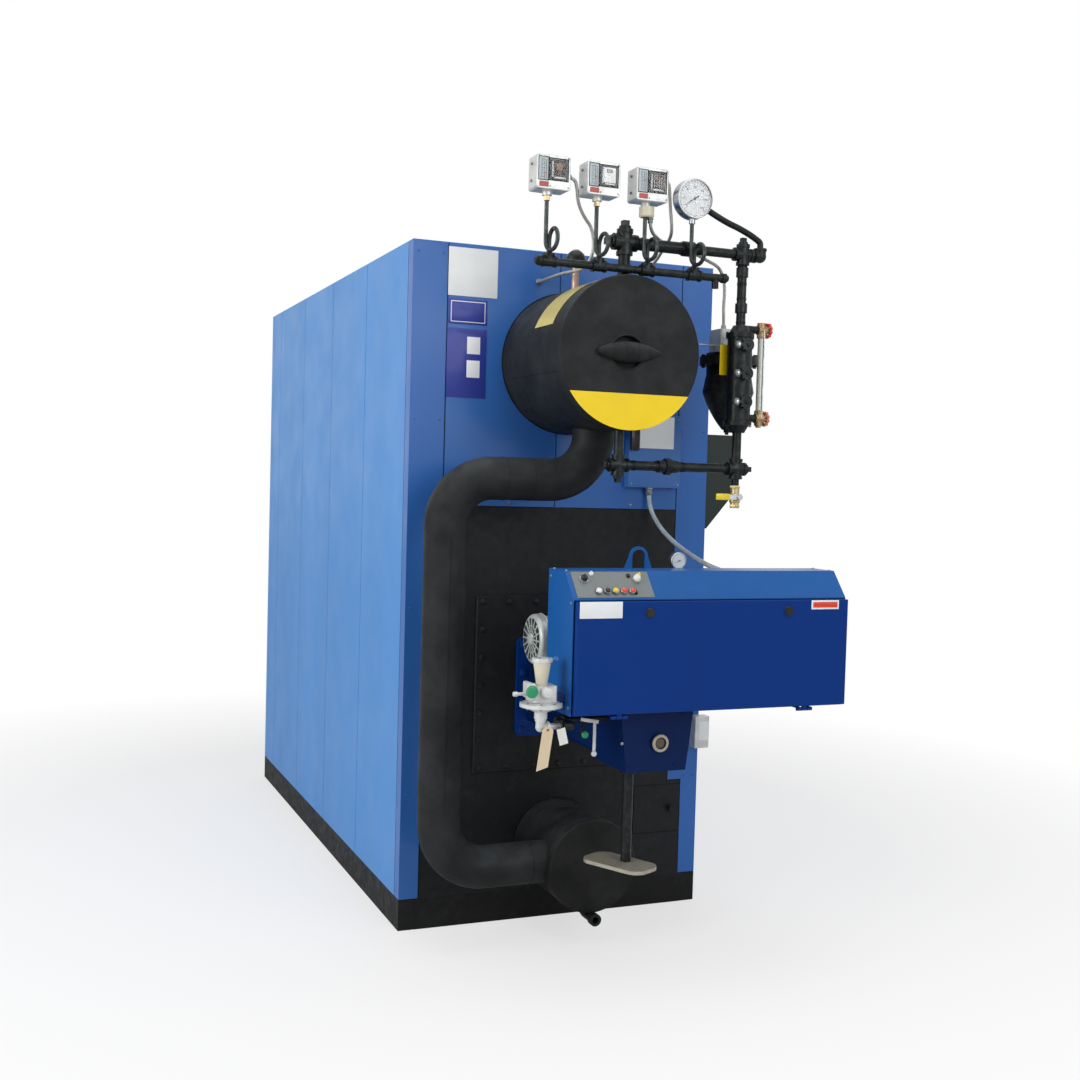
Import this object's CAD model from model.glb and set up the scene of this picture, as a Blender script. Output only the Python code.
import math
import random
from contextlib import contextmanager

import bmesh
import bpy
from mathutils import Matrix, Vector


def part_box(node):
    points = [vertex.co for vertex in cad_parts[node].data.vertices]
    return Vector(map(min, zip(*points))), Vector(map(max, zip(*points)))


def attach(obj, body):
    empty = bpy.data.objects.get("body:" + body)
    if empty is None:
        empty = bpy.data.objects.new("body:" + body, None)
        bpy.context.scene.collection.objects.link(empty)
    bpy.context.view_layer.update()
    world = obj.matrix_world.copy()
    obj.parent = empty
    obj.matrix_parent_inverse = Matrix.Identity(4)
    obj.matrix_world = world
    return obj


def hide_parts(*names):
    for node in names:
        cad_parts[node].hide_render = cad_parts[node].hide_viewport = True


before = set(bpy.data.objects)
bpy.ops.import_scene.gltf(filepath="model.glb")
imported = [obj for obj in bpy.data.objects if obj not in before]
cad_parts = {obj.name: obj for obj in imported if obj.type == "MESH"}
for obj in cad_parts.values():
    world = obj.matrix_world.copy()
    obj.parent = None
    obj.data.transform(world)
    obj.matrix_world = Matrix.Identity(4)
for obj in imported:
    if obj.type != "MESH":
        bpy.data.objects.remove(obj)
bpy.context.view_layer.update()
random.seed(7)

# Places in metres: x from the casing's middle, y to the back, z from the floor

FRONT = -1.3
PIPES_Y = FRONT - 0.250
CUTOFF_Y = FRONT - 0.300
TRIM_Y = FRONT - 0.460
MANIFOLD_Y = FRONT - 0.505
DRUM_FACE = FRONT - 0.536
CONTROL_FACE = MANIFOLD_Y - 0.0355
HOUSING_Y = FRONT - 0.770
CABINET_Y = FRONT - 0.840
DOOR_Y = CABINET_Y - 0.025
DRUM_Z = 2.090
DRUM_R = 0.260
LOWER_DRUM_Z = 0.285
HEADER_Z = 2.470
MANIFOLD_Z = 2.373
CONTROL_Z = 2.600
WATER_LINE_Z = 1.712
DRAIN_Z = 1.612
LATCH_Z = 1.244
OUTLET_X = -0.297
OUTLET_STEP = 0.181
COLUMN_X = 0.466
GLASS_X = 0.553
CUTOFF_X = 0.518
TRY_COCKS = (1.948, 2.048, 2.148)
GAUGE_X = 0.233
GAUGE_Z = 2.632
REGULATOR = Vector((-0.400, FRONT - 0.790, 0))
GAS_COCK = Vector((-0.192, -1.990, 0.884))

ORIGIN = (0, 0, 0)
RIGHT = (1, 0, 0)
LEFT = (-1, 0, 0)
BACK = (0, 1, 0)
FORWARD = (0, -1, 0)
UP = (0, 0, 1)
DOWN = (0, 0, -1)


# Materials

WHITE = (1.0, 1.0, 1.0, 1.0)
MIX_COLOUR_A = 6
MIX_COLOUR_B = 7
MIX_COLOUR_OUT = 2
SOCKETS = {
    "rough": "Roughness",
    "metal": "Metallic",
    "coat": "Coat Weight",
    "coat_rough": "Coat Roughness",
    "specular": "Specular IOR Level",
    "transmission": "Transmission Weight",
    "ior": "IOR",
}


def srgb(r, g, b):
    """Linear colour of a screen colour from 0 to 255."""
    out = []
    for value in (r / 255, g / 255, b / 255):
        out.append(value / 12.92 if value <= 0.04045 else ((value + 0.055) / 1.055) ** 2.4)
    return (out[0], out[1], out[2], 1.0)


def tint(colour, share, lift=0.0):
    """The colour made darker by the share, or paler by share and lift."""
    return tuple(value * share + lift for value in colour[:3]) + (1.0,)


def add_node(tree, kind, inputs=None, operation=None):
    """New node, with a value or another node's output for each input named."""
    node = tree.nodes.new(kind)
    if operation is not None:
        node.operation = operation
    for socket, value in (inputs or {}).items():
        if isinstance(value, bpy.types.NodeSocket):
            tree.links.new(value, node.inputs[socket])
        else:
            node.inputs[socket].default_value = value
    return node


class Nodes:
    """Short way to build a node material on one Principled shader."""

    def __init__(self, name):
        self.material = bpy.data.materials.new(name)
        self.material.use_nodes = True
        self.tree = self.material.node_tree
        self.shader = self.tree.nodes["Principled BSDF"]
        self.place = add_node(self.tree, "ShaderNodeTexCoord").outputs["Object"]

    def noise(self, scale, detail=3.0, rough=0.5, stretch=(1, 1, 1)):
        mapping = add_node(self.tree, "ShaderNodeMapping", {"Scale": stretch, "Vector": self.place})
        inputs = {"Scale": scale, "Detail": detail, "Roughness": rough, "Vector": mapping.outputs["Vector"]}
        return add_node(self.tree, "ShaderNodeTexNoise", inputs).outputs["Fac"]

    def ramp(self, value, low, high, stops=(0.35, 0.65)):
        inputs = {"Value": value, "From Min": stops[0], "From Max": stops[1], "To Min": low, "To Max": high}
        return add_node(self.tree, "ShaderNodeMapRange", inputs).outputs["Result"]

    def mix(self, factor, colour_a, colour_b):
        node = add_node(self.tree, "ShaderNodeMix")
        node.data_type = "RGBA"
        self.tree.links.new(factor, node.inputs["Factor"])
        for socket, colour in ((MIX_COLOUR_A, colour_a), (MIX_COLOUR_B, colour_b)):
            if isinstance(colour, tuple):
                node.inputs[socket].default_value = colour
            else:
                self.tree.links.new(colour, node.inputs[socket])
        return node.outputs[MIX_COLOUR_OUT]

    def times(self, value_a, value_b):
        return add_node(self.tree, "ShaderNodeMath", {0: value_a, 1: value_b}, "MULTIPLY").outputs[0]

    def up(self, low=0.3, high=0.95):
        """How far a face looks upwards, from 0 to 1."""
        geometry = add_node(self.tree, "ShaderNodeNewGeometry")
        split = add_node(self.tree, "ShaderNodeSeparateXYZ", {0: geometry.outputs["Normal"]})
        return self.ramp(split.outputs["Z"], 0.0, 1.0, (low, high))

    def colour(self, source):
        self.tree.links.new(source, self.shader.inputs["Base Color"])

    def rough(self, value, low, high):
        self.tree.links.new(self.ramp(value, low, high), self.shader.inputs["Roughness"])

    def bump(self, *layers):
        """Layers of (height, strength, distance in metres), one on top of another."""
        inputs = {}
        for height, strength, distance in layers:
            inputs.update({"Height": height, "Strength": strength, "Distance": distance})
            node = add_node(self.tree, "ShaderNodeBump", inputs)
            inputs = {"Normal": node.outputs["Normal"]}
        self.tree.links.new(node.outputs["Normal"], self.shader.inputs["Normal"])

    def set(self, **values):
        for key, value in values.items():
            self.shader.inputs[SOCKETS[key]].default_value = value


def enamel(name, rgb, rough=0.3, wavy=0.4, coat=0.1, dust=0.10, shine=0.3):
    """Sprayed enamel on sheet: slow waviness, drifts of tone and a little dust."""
    n = Nodes(name)
    colour = srgb(*rgb)
    drift = n.ramp(n.noise(2.6, 1, 0.4, (1, 1, 0.06)), 0.0, 1.0, (0.40, 0.60))
    tone = n.mix(drift, tint(colour, 0.94), colour)
    dusty = n.times(n.up(), n.ramp(n.noise(9, 6, 0.65), 0.0, dust))
    n.colour(n.mix(dusty, tone, tint(colour, 0.6, 0.28)))
    n.rough(n.noise(5), rough - 0.03, rough + 0.06)
    n.set(coat=coat, coat_rough=0.12, specular=shine)
    n.bump((n.noise(1.7, 2, 0.4, (1, 1, 0.55)), wavy, 0.012))
    return n.material


def black_paint(name, rgb, rough=0.5, dust=0.25):
    """Black paint on plate, with settled dust and scuffs."""
    n = Nodes(name)
    colour = srgb(*rgb)
    scuff = n.ramp(n.noise(18, 8, 0.7), 0.0, 0.35, (0.52, 0.72))
    tone = n.mix(scuff, colour, tint(colour, 2.2, 0.012))
    dusty = n.times(n.up(), n.ramp(n.noise(25, 7, 0.7), 0.0, dust))
    n.colour(n.mix(dusty, tone, srgb(150, 146, 136)))
    n.rough(n.noise(30, 5, 0.6), rough - 0.10, rough + 0.12)
    n.set(specular=0.2)
    n.bump((n.noise(2.5, 2), 0.35, 0.006), (n.noise(120, 3, 0.6), 0.20, 0.0006))
    return n.material


def foam(name, rgb):
    """Closed-cell pipe insulation: soft skin, shallow dents, chalky patches."""
    n = Nodes(name)
    colour = srgb(*rgb)
    chalk = n.ramp(n.noise(7, 6, 0.65), 0.0, 0.8, (0.42, 0.70))
    tone = n.mix(chalk, colour, tint(colour, 1.8, 0.006))
    dusty = n.times(n.up(0.2, 1.0), n.ramp(n.noise(12, 8, 0.7), 0.05, 0.22))
    n.colour(n.mix(dusty, tone, srgb(112, 118, 122)))
    n.rough(n.noise(11, 5, 0.6), 0.50, 0.70)
    n.set(specular=0.16)
    n.bump((n.noise(6), 0.55, 0.010), (n.noise(60, 4, 0.6), 0.25, 0.0016))
    return n.material


def iron(name, rgb, rough=0.42, cast=0.5, metal=0.55):
    """Black malleable iron: cast skin with an oily sheen and a breath of rust."""
    n = Nodes(name)
    colour = srgb(*rgb)
    skin = n.ramp(n.noise(45, 7, 0.7), 0.0, 0.6, (0.45, 0.75))
    tone = n.mix(skin, colour, tint(colour, 2.4, 0.02))
    rust = n.times(n.ramp(n.noise(22, 8, 0.7), 0.0, 0.22, (0.60, 0.75)), n.up(-1.0, 1.0))
    n.colour(n.mix(rust, tone, srgb(92, 66, 48)))
    n.rough(n.noise(55, 5, 0.6), rough - 0.10, rough + 0.16)
    n.set(metal=metal, specular=0.3)
    n.bump((n.noise(160, 4, 0.6), cast * 0.5, 0.0010))
    return n.material


def plated(name, rgb, rough=0.28, brushed=0.25, metal=0.9):
    """Bright plated or brushed metal with finger marks."""
    n = Nodes(name)
    colour = srgb(*rgb)
    n.colour(n.mix(n.ramp(n.noise(26, 6, 0.6), 0.0, 1.0), colour, tint(colour, 0.8)))
    n.rough(n.noise(40, 6, 0.7), rough - 0.07, rough + 0.12)
    n.set(metal=metal)
    n.bump((n.noise(70, 3, 0.6, (1, 1, 0.08)), brushed, 0.0003), (n.noise(9, 2), 0.3, 0.0010))
    return n.material


def plastic(name, rgb, rough=0.4, coat=0.1):
    """Moulded plastic, paint on a small part or printed sheet, with a fine grain."""
    n = Nodes(name)
    colour = srgb(*rgb)
    n.colour(n.mix(n.ramp(n.noise(12, 4), 0.0, 1.0), colour, tint(colour, 0.95)))
    n.rough(n.noise(25, 4), rough - 0.04, rough + 0.06)
    n.set(coat=coat, specular=0.3)
    n.bump((n.noise(90), 0.10, 0.0004))
    return n.material


def clear_glass(name, rough=0.03):
    """Thin clear pane with faint smears."""
    n = Nodes(name)
    n.shader.inputs["Base Color"].default_value = WHITE
    n.rough(n.noise(30, 4), rough, rough + 0.06)
    n.set(transmission=1.0, ior=1.25)
    return n.material


M = {
    "side": enamel("side_enamel", (74, 136, 201), 0.42, 0.40, 0.0, 0.10, 0.25),
    "front": enamel("front_enamel", (46, 100, 174), 0.32, 0.35, 0.08, 0.10, 0.25),
    "burner": enamel("burner_enamel", (6, 50, 122), 0.34, 0.12, 0.0, 0.03, 0.10),
    "slope": enamel("slope_enamel", (24, 86, 154), 0.30, 0.12, 0.0, 0.05, 0.16),
    "housing": enamel("housing_enamel", (5, 30, 76), 0.34, 0.12, 0.0, 0.03, 0.10),
    "wiring": enamel("wiring_enamel", (58, 108, 176), 0.34, 0.2, 0.0),
    "green": enamel("green_enamel", (16, 34, 29), 0.4, 0.3, 0.05),
    "furnace": black_paint("furnace_paint", (20, 22, 24), 0.52, 0.08),
    "base": black_paint("base_paint", (15, 16, 17), 0.58, 0.2),
    "foam": foam("foam_skin", (26, 28, 29)),
    "foam_dark": foam("lower_foam_skin", (17, 18, 18)),
    "foam_tape": foam("foam_tape", (20, 21, 22)),
    "iron": iron("black_iron", (26, 30, 30), 0.36),
    "siphon": iron("siphon_pipe", (52, 58, 57), 0.32, 0.3, 0.7),
    "iron_dark": iron("black_cast_iron", (17, 18, 20), 0.45, 0.7, 0.3),
    "steel": plated("plain_steel", (138, 141, 144), 0.34, 0.3),
    "plate": plated("plated_cover", (200, 203, 201), 0.34, 0.15, 0.4),
    "motor": plated("motor_casting", (182, 190, 187), 0.44, 0.15, 0.35),
    "chrome": plated("polished_bezel", (160, 163, 166), 0.2, 0.1, 0.9),
    "pale_casting": plated("pale_casting", (206, 209, 208), 0.42, 0.1, 0.3),
    "grey_casting": plated("grey_casting", (98, 103, 105), 0.40, 0.2, 0.5),
    "bright": plated("bright_plug", (196, 199, 200), 0.26, 0.1, 0.7),
    "brass": plated("brass_casting", (190, 174, 128), 0.36, 0.1, 0.7),
    "bronze": plated("bronze_valves", (158, 132, 98), 0.38, 0.1, 0.7),
    "copper": plated("copper_works", (128, 92, 70), 0.4, 0.1, 0.5),
    "foot": plated("bare_foot_plate", (166, 161, 146), 0.42, 0.3, 0.4),
    "stem": plated("tinned_stem", (188, 158, 142), 0.38, 0.1, 0.5),
    "conduit": plated("conduit_strip", (176, 176, 170), 0.36, 0.1, 0.7),
    "conduit_dark": plated("large_conduit_strip", (170, 184, 194), 0.42, 0.1, 0.35),
    "white_dial": plastic("dial_face", (212, 216, 219), 0.35, 0.1),
    "cream": plastic("cream_moulding", (206, 200, 178), 0.42),
    "panel": plastic("panel_sheet", (118, 124, 124), 0.38, 0.0),
    "yellow": plastic("yellow_vinyl", (240, 206, 14), 0.42, 0.0),
    "pale_yellow": plastic("yellow_tape", (250, 238, 160), 0.34, 0.2),
    "lever": plastic("lever_sleeve", (232, 205, 40), 0.35, 0.2),
    "red": plastic("red_wheel_paint", (200, 62, 40), 0.36, 0.2),
    "orange": plastic("orange_wheel_paint", (206, 124, 84), 0.38, 0.2),
    "red_lamp": plastic("red_lens", (214, 60, 30), 0.15, 0.6),
    "yellow_lamp": plastic("yellow_lens", (226, 190, 40), 0.15, 0.6),
    "white_lamp": plastic("white_lens", (226, 226, 220), 0.2, 0.5),
    "black_plastic": plastic("black_moulding", (24, 24, 25), 0.35, 0.2),
    "white_plate": plastic("white_plate", (228, 231, 233), 0.4, 0.0),
    "blue_plate": plastic("blue_plate", (40, 54, 144), 0.35, 0.1),
    "tag": plastic("manila_tag", (216, 198, 168), 0.75, 0.0),
    "white_tag": plastic("white_tag", (222, 222, 216), 0.6, 0.0),
    "red_print": plastic("red_print", (178, 92, 88), 0.5, 0.0),
    "green_paint": plastic("green_paint", (36, 140, 92), 0.35, 0.2),
    "dark": plastic("dark_inside", (30, 31, 33), 0.6, 0.0),
    "scale": plastic("scale_plate", (172, 184, 190), 0.35, 0.1),
    "port_dark": plastic("port_glass", (88, 70, 50), 0.2, 0.3),
    "pale_tube": plastic("pale_gauge_tube", (205, 208, 198), 0.10, 0.8),
    "glass": clear_glass("window_glass"),
}


# Building blocks

def new_object(name, data):
    """Object with the given data, linked to the scene."""
    obj = bpy.data.objects.new(name, data)
    bpy.context.scene.collection.objects.link(obj)
    return obj


def new_piece(name, bm, materials, slot, body="boiler", smooth=True):
    """Object of the scene from a filled mesh, with its materials, body and slot."""
    mesh = bpy.data.meshes.new(name)
    bmesh.ops.recalc_face_normals(bm, faces=bm.faces)
    bm.to_mesh(mesh)
    bm.free()
    obj = new_object(name, mesh)
    for material in (materials,) if isinstance(materials, str) else materials:
        mesh.materials.append(M[material])
    if smooth:
        mesh.shade_smooth()
        mesh.set_sharp_from_angle(angle=math.radians(38))
    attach(obj, body)
    return obj


@contextmanager
def piece(name, materials, slot, at=ORIGIN, body="boiler", smooth=True):
    """Mesh that the block fills about the given place; at its end it becomes a piece."""
    bm = bmesh.new()
    yield bm
    bmesh.ops.translate(bm, vec=Vector(at), verts=bm.verts)
    new_piece(name, bm, materials, slot, body, smooth)


def around(centre, axis, radius, count, offset=0.0):
    """Places on a circle about the axis X, Y or Z; the offset is a share of one step."""
    first, second = {"X": (1, 2), "Y": (0, 2), "Z": (0, 1)}[axis]
    for step in range(count):
        angle = 2 * math.pi * (step + offset) / count
        place = Vector(centre)
        place[first] += radius * math.cos(angle)
        place[second] += radius * math.sin(angle)
        yield place


def basis(axis, twist=0.0):
    """Rotation that turns +Z to the given direction."""
    axis = Vector(axis).normalized()
    return axis.to_track_quat("Z", "Y").to_matrix().to_4x4() @ Matrix.Rotation(twist, 4, "Z")


def bridge(bm, low, high, index=0):
    """Faces between two rings, either of which may be a single point."""
    count = max(len(low), len(high))
    for step in range(count):
        after = (step + 1) % count
        if len(low) == 1:
            corners = (low[0], high[after], high[step])
        elif len(high) == 1:
            corners = (low[step], low[after], high[0])
        else:
            corners = (low[step], low[after], high[after], high[step])
        bm.faces.new(corners).material_index = index


def add_lathe(bm, profile, origin, axis, segments=40, index=0, twist=0.0):
    """Profile of (radius, height along the axis), turned about the axis."""
    place = Matrix.Translation(Vector(origin)) @ basis(axis, twist)
    rings = []
    for radius, height in profile:
        count = segments if radius > 0 else 1
        rings.append([bm.verts.new(place @ spot) for spot in around((0, 0, height), "Z", radius, count)])
    for low, high in zip(rings, rings[1:]):
        bridge(bm, low, high, index)


def add_turned(bm, profile, origin, axis, segments=40, index=0):
    """Solid turned part: the profile's ends are closed with flat discs to the axis."""
    ends = [] if profile[-1][0] == 0 else [(0, profile[-1][1])]
    add_lathe(bm, [(0, profile[0][1])] + profile + ends, origin, axis, segments, index)


def add_box(bm, centre, size, bevel=0.0, index=0, turn=None):
    """Box with slightly rounded edges."""
    verts = bmesh.ops.create_cube(bm, size=1.0)["verts"]
    for vert in verts:
        vert.co = Vector((vert.co.x * size[0], vert.co.y * size[1], vert.co.z * size[2]))
    if bevel > 0:
        edges = list(set(edge for vert in verts for edge in vert.link_edges))
        done = bmesh.ops.bevel(bm, geom=edges, offset=bevel, segments=2, affect="EDGES", profile=0.6)
        verts = done["verts"]
    for face in set(face for vert in verts for face in vert.link_faces):
        face.material_index = index
    place = Matrix.Translation(Vector(centre)) @ (turn if turn is not None else Matrix.Identity(4))
    bmesh.ops.transform(bm, matrix=place, verts=verts)


def box_piece(name, material, slot, centre, size, bevel=0.0, turn=None, **more):
    """Piece that is one box."""
    with piece(name, material, slot, **more) as bm:
        add_box(bm, centre, size, bevel, turn=turn)


def add_plate(bm, outline, place, first, second):
    """Flat outline of (x, z), given a thickness between two heights in y."""
    rims = [[bm.verts.new(place @ Vector((x, y, z))) for x, z in outline] for y in (first, second)]
    bm.faces.new(rims[0])
    bm.faces.new(list(reversed(rims[1])))
    bridge(bm, rims[0], rims[1])


def scaled(profile, radius, height):
    """Profile from one given in shares of a radius and a height."""
    return [(across * radius, along * height) for across, along in profile]


def mirrored(half):
    """Profile whose upper half is the given lower half turned over."""
    return half + [(radius, -height) for radius, height in reversed(half)]


def add_hex_bolt(bm, origin, axis, size):
    """Hexagon head with a chamfered top on a round washer."""
    add_turned(bm, scaled([(1.15, 0), (1.15, 0.16), (0.95, 0.24)], size, size), origin, axis, 20)
    top = Vector(origin) + Vector(axis).normalized() * size * 0.24
    head = scaled([(0.98, 0), (0.98, 0.60), (0.80, 0.72), (0, 0.72)], size, size)
    add_lathe(bm, head, top, axis, 6, twist=random.uniform(0, math.pi / 3))


def bolt_edges(bm, across, upward, y, size):
    """Hexagon bolts along the four edges of an upright plate, at the given x and z."""
    for x in across:
        for z in (upward[0], upward[-1]):
            add_hex_bolt(bm, (x, y, z), FORWARD, size)
    for z in upward[1:-1]:
        for x in (across[0], across[-1]):
            add_hex_bolt(bm, (x, y, z), FORWARD, size)


def add_screw(bm, origin, axis, size):
    """Low pan-head screw."""
    profile = scaled([(1, 0), (1, 0.2), (0.8, 0.5), (0.4, 0.62), (0, 0.64)], size, size)
    add_lathe(bm, profile, origin, axis, 14)


def add_rim(bm, centre, axis, radius, bead):
    """Rounded bead that runs around a pipe or an edge."""
    foot = radius - bead * 0.4
    profile = []
    for step in range(9):
        angle = math.pi * step / 8
        profile.append((radius + bead * math.sin(angle), -bead * math.cos(angle)))
    add_lathe(bm, [(foot, -bead)] + profile + [(foot, bead)], centre, axis)


def add_thread(bm, start, axis, radius, turns, pitch, bead):
    """Thread turns that show on a pipe beside its fitting."""
    for turn in range(turns):
        add_rim(bm, Vector(start) + Vector(axis) * pitch * turn, axis, radius, bead)


def add_sweep(bm, points, radii, segments, closed_ends=True):
    """Round rings across the line through the points, joined without a twist."""
    normal = None
    rings = []
    for number, point in enumerate(points):
        ahead = points[min(number + 1, len(points) - 1)] - points[max(number - 1, 0)]
        ahead.normalize()
        if normal is None:
            normal = ahead.orthogonal()
        normal = (normal - ahead * normal.dot(ahead)).normalized()
        side = ahead.cross(normal)
        ring = []
        for step in range(segments):
            angle = 2 * math.pi * step / segments
            reach = normal * math.cos(angle) + side * math.sin(angle)
            ring.append(bm.verts.new(point + reach * radii[number]))
        rings.append(ring)
    if closed_ends:
        bm.faces.new(list(reversed(rings[0])))
    for low, high in zip(rings, rings[1:]):
        bridge(bm, low, high)
    if closed_ends:
        bm.faces.new(rings[-1])


def add_tube(bm, points, radius, segments, closed_ends=True):
    """Round bar through the points."""
    add_sweep(bm, [Vector(point) for point in points], [radius] * len(points), segments, closed_ends)


# Finish of the CAD nodes

def smooth_by_angle_group():
    """Geometry nodes that make every edge under 32 degrees smooth."""
    group = bpy.data.node_groups.new("smooth_by_angle", "GeometryNodeTree")
    group.interface.new_socket("Geometry", in_out="INPUT", socket_type="NodeSocketGeometry")
    group.interface.new_socket("Geometry", in_out="OUTPUT", socket_type="NodeSocketGeometry")
    source = add_node(group, "NodeGroupInput")
    edge_angle = add_node(group, "GeometryNodeInputMeshEdgeAngle").outputs["Unsigned Angle"]
    compare = add_node(group, "FunctionNodeCompare", {0: edge_angle, 1: math.radians(32)}, "LESS_EQUAL")
    inputs = {"Geometry": source.outputs[0], "Shade Smooth": compare.outputs["Result"]}
    smooth = add_node(group, "GeometryNodeSetShadeSmooth", inputs)
    smooth.domain = "EDGE"
    add_node(group, "NodeGroupOutput", {0: smooth.outputs["Geometry"]})
    return group


SMOOTH_GROUP = smooth_by_angle_group()


def dress(node, material, soften):
    """Gives a CAD node its material and, where asked, slightly rounded edges."""
    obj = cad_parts[node]
    mesh = obj.data
    mesh.materials.clear()
    mesh.materials.append(M[material])
    if "custom_normal" in mesh.attributes:
        mesh.attributes.remove(mesh.attributes["custom_normal"])
    weld = obj.modifiers.new("weld", "WELD")
    weld.merge_threshold = 0.00002
    if soften > 0:
        bevel = obj.modifiers.new("soft_edges", "BEVEL")
        bevel.width = soften
        bevel.segments = 2
        bevel.limit_method = "ANGLE"
        bevel.angle_limit = math.radians(50)
        bevel.use_clamp_overlap = True
        bevel.harden_normals = True
    mesh.shade_smooth()
    smooth = obj.modifiers.new("smooth_angle", "NODES")
    smooth.node_group = SMOOTH_GROUP
    weighted = obj.modifiers.new("flat_faces", "WEIGHTED_NORMAL")
    weighted.keep_sharp = True


def paint(node, material, test):
    """Gives the faces of a CAD node whose centre passes the test a second material."""
    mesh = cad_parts[node].data
    mesh.materials.append(M[material])
    index = len(mesh.materials) - 1
    for face in mesh.polygons:
        if test(face.center):
            face.material_index = index


# Material, width of the rounded edges, and the nodes that get them

DRESS = (
    ("base", 0, "base_floor"),
    ("base", 0.0015, "base_rails"),
    ("brass", 0.0006, "drain_valve"),
    ("bright", 0.0008, "drain_lever"),
    ("bronze", 0.0005, "gauge_glass"),
    ("burner", 0.0015, "cabinet_door"),
    ("burner", 0.002, "blower_scroll", "burner_flange"),
    ("chrome", 0, "draft_gauge"),
    ("chrome", 0.0006, "pressure_gauge"),
    ("cream", 0, "control_junction"),
    ("foam", 0, "downcomer", "upper_drum"),
    ("foam", 0.002, "upper_drum_cap"),
    ("foam", 0.003, "manhole_yoke"),
    ("foam_dark", 0, "lower_drum"),
    ("front", 0, "upper_front_panels"),
    ("front", 0.0015, "left_front_post", "right_front_post"),
    ("furnace", 0, "boiler_core", "lower_front_panel"),
    ("furnace", 0.0015, "access_plate", "cleanout_door"),
    ("green", 0.001, "side_box"),
    ("housing", 0.003, "burner_housing"),
    ("iron", 0, "blowdown_pipe", "gauge_line"),
    ("iron", 0.0008, "control_manifold", "equalizing_line", "gas_pipe", "steam_header"),
    ("iron", 0.001, "vent_valve", "water_column"),
    ("iron", 0.002, "burner_leg"),
    ("iron_dark", 0.002, "cutoff_bowl"),
    ("motor", 0.002, "blower_motor"),
    ("orange", 0.0006, "lower_gauge_wheel"),
    ("pale_casting", 0.001, "fuel_actuator", "fuel_regulator", "service_box"),
    ("panel", 0.0005, "operator_panel"),
    ("plate", 0, "pressure_control_1", "pressure_control_2", "pressure_control_3"),
    ("plate", 0.001, "cutoff_switch_box"),
    ("red", 0.0006, "upper_gauge_wheel"),
    ("side", 0, "left_side_panels", "rear_panels", "right_side_panels", "roof_panels"),
    ("side", 0.0015, "rear_posts"),
    ("siphon", 0, "pigtail_siphons"),
    ("slope", 0.001, "control_cabinet"),
    ("steel", 0, "flue_collar"),
    ("steel", 0.001, "steam_outlet"),
    ("wiring", 0.001, "wiring_box"),
)

for material_name, edge_width, *node_names in DRESS:
    for node_name in node_names:
        dress(node_name, material_name, edge_width)


# Stage, light and camera

def build_stage():
    """Pale floor that looks white to the camera further out, by a glow of its own."""
    mesh = bpy.data.meshes.new("floor")
    bm = bmesh.new()
    bmesh.ops.create_grid(bm, x_segments=2, y_segments=2, size=40)
    bm.to_mesh(mesh)
    bm.free()
    n = Nodes("pale_floor")
    n.shader.inputs["Base Color"].default_value = (0.82, 0.82, 0.82, 1.0)
    n.set(rough=0.9, specular=0.1)
    glow = add_node(n.tree, "ShaderNodeEmission", {"Strength": 1.0})
    path = add_node(n.tree, "ShaderNodeLightPath")
    reach = add_node(n.tree, "ShaderNodeVectorMath", {0: n.place}, "LENGTH")
    fade = n.ramp(reach.outputs["Value"], 0.60, 1.0, (2.0, 4.2))
    share = n.times(path.outputs["Is Camera Ray"], fade)
    mix = add_node(n.tree, "ShaderNodeMixShader", {"Fac": share, 1: n.shader.outputs[0], 2: glow.outputs[0]})
    n.tree.links.new(mix.outputs[0], n.tree.nodes["Material Output"].inputs["Surface"])
    mesh.materials.append(n.material)
    new_object("floor", mesh)


def build_world():
    """Soft white light, a little stronger from above, with white behind the part."""
    world = bpy.data.worlds.new("studio")
    bpy.context.scene.world = world
    world.use_nodes = True
    tree = world.node_tree
    tree.nodes.clear()
    coords = add_node(tree, "ShaderNodeTexCoord")
    split = add_node(tree, "ShaderNodeSeparateXYZ", {0: coords.outputs["Generated"]})
    inputs = {"Value": split.outputs["Z"], "From Min": -0.2, "From Max": 0.9, "To Min": 0.30, "To Max": 0.52}
    strength = add_node(tree, "ShaderNodeMapRange", inputs).outputs["Result"]
    soft = add_node(tree, "ShaderNodeBackground", {"Color": WHITE, "Strength": strength})
    white = add_node(tree, "ShaderNodeBackground", {"Color": WHITE, "Strength": 1.0})
    path = add_node(tree, "ShaderNodeLightPath")
    seen = path.outputs["Is Camera Ray"]
    for ray in ("Is Glossy Ray", "Is Transmission Ray"):
        either = add_node(tree, "ShaderNodeMath", {0: seen, 1: path.outputs[ray]}, "ADD")
        either.use_clamp = True
        seen = either.outputs[0]
    mix = add_node(tree, "ShaderNodeMixShader", {"Fac": seen, 1: soft.outputs[0], 2: white.outputs[0]})
    add_node(tree, "ShaderNodeOutputWorld", {"Surface": mix.outputs[0]})


def area_light(name, place, target, width, height, power, colour=(1, 1, 1)):
    """Rectangular lamp at a place, turned to its target."""
    data = bpy.data.lights.new(name, "AREA")
    data.energy = power
    data.shape = "RECTANGLE"
    data.size = width
    data.size_y = height
    data.color = colour
    light = new_object(name, data)
    light.location = place
    light.rotation_euler = (Vector(target) - Vector(place)).to_track_quat("-Z", "Y").to_euler()


def build_light():
    """Window light from the left, fill from the front and from overhead."""
    area_light("left_window", (-7.5, -2.6, 3.4), (-0.6, 0.0, 1.3), 5.0, 3.5, 330, (1.0, 0.99, 0.97))
    area_light("front_soft", (1.5, -7.5, 3.6), (0.0, -1.6, 1.4), 4.0, 3.0, 130)
    area_light("overhead", (0.0, -2.4, 6.5), (0.0, -1.5, 1.5), 4.0, 4.0, 110)
    bpy.context.scene.view_settings.view_transform = "Standard"


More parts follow.
